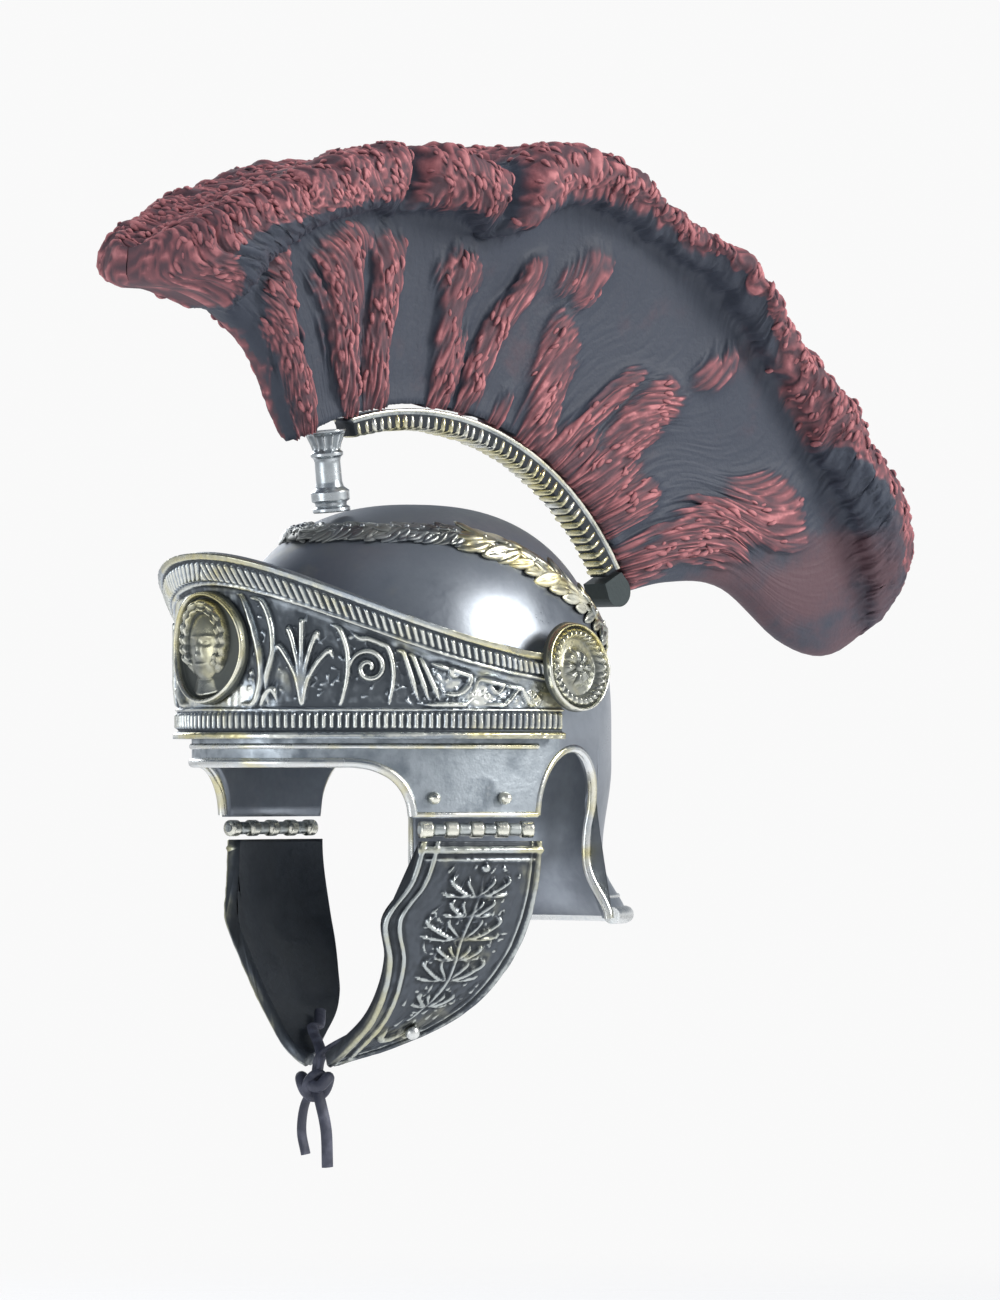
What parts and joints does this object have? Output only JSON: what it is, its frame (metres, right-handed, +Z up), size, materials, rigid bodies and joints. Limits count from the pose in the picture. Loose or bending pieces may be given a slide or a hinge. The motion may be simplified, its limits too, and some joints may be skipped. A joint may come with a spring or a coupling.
{
  "type": "crested roman helmet for a display figure",
  "caption": "Open-faced Roman officer's helmet with an embossed brow band, hinged cheek guards, a neck guard and a tall red plume crest on a post, at display-figure size.",
  "frame": {"origin": "centre of the head opening, level with the lower edge of the brow, where a head carries the helmet", "axes": "+Z up, the face opening towards -Y, the wearer's left towards +X"},
  "size_m": [0.0362, 0.0882, 0.0891],
  "materials": {
    "silver": "polished silver with a slate-blue wash in the hollows",
    "gilded": "old gold dry-brushed over dark slate relief",
    "dark_steel": "gunmetal with silver high points",
    "blackened": "green-black satin",
    "plume_red": "sculpted hair, dark red with pinkish ridges and near-black folds",
    "tie_leather": "matt indigo leather lace"
  },
  "bodies": {
    "root": {"bowl": "silver", "brow_band": "gilded", "laurel_wreath": "gilded", "front_medallion": "gilded", "side_medallion_left": "gilded", "cheek_guard_left": "dark_steel", "cheek_hinge_left": "gilded", "temple_rivet_front_left": "gilded", "temple_rivet_rear_left": "gilded", "tie_stud_left": "silver", "side_medallion_right": "gilded", "cheek_guard_right": "dark_steel", "cheek_hinge_right": "gilded", "temple_rivet_front_right": "gilded", "temple_rivet_rear_right": "gilded", "tie_stud_right": "silver", "crest_post": "silver", "crest_arch": "gilded", "crest_arch_foot": "blackened", "plume": "plume_red", "chin_tie": "tie_leather"}
  },
  "joints": []
}
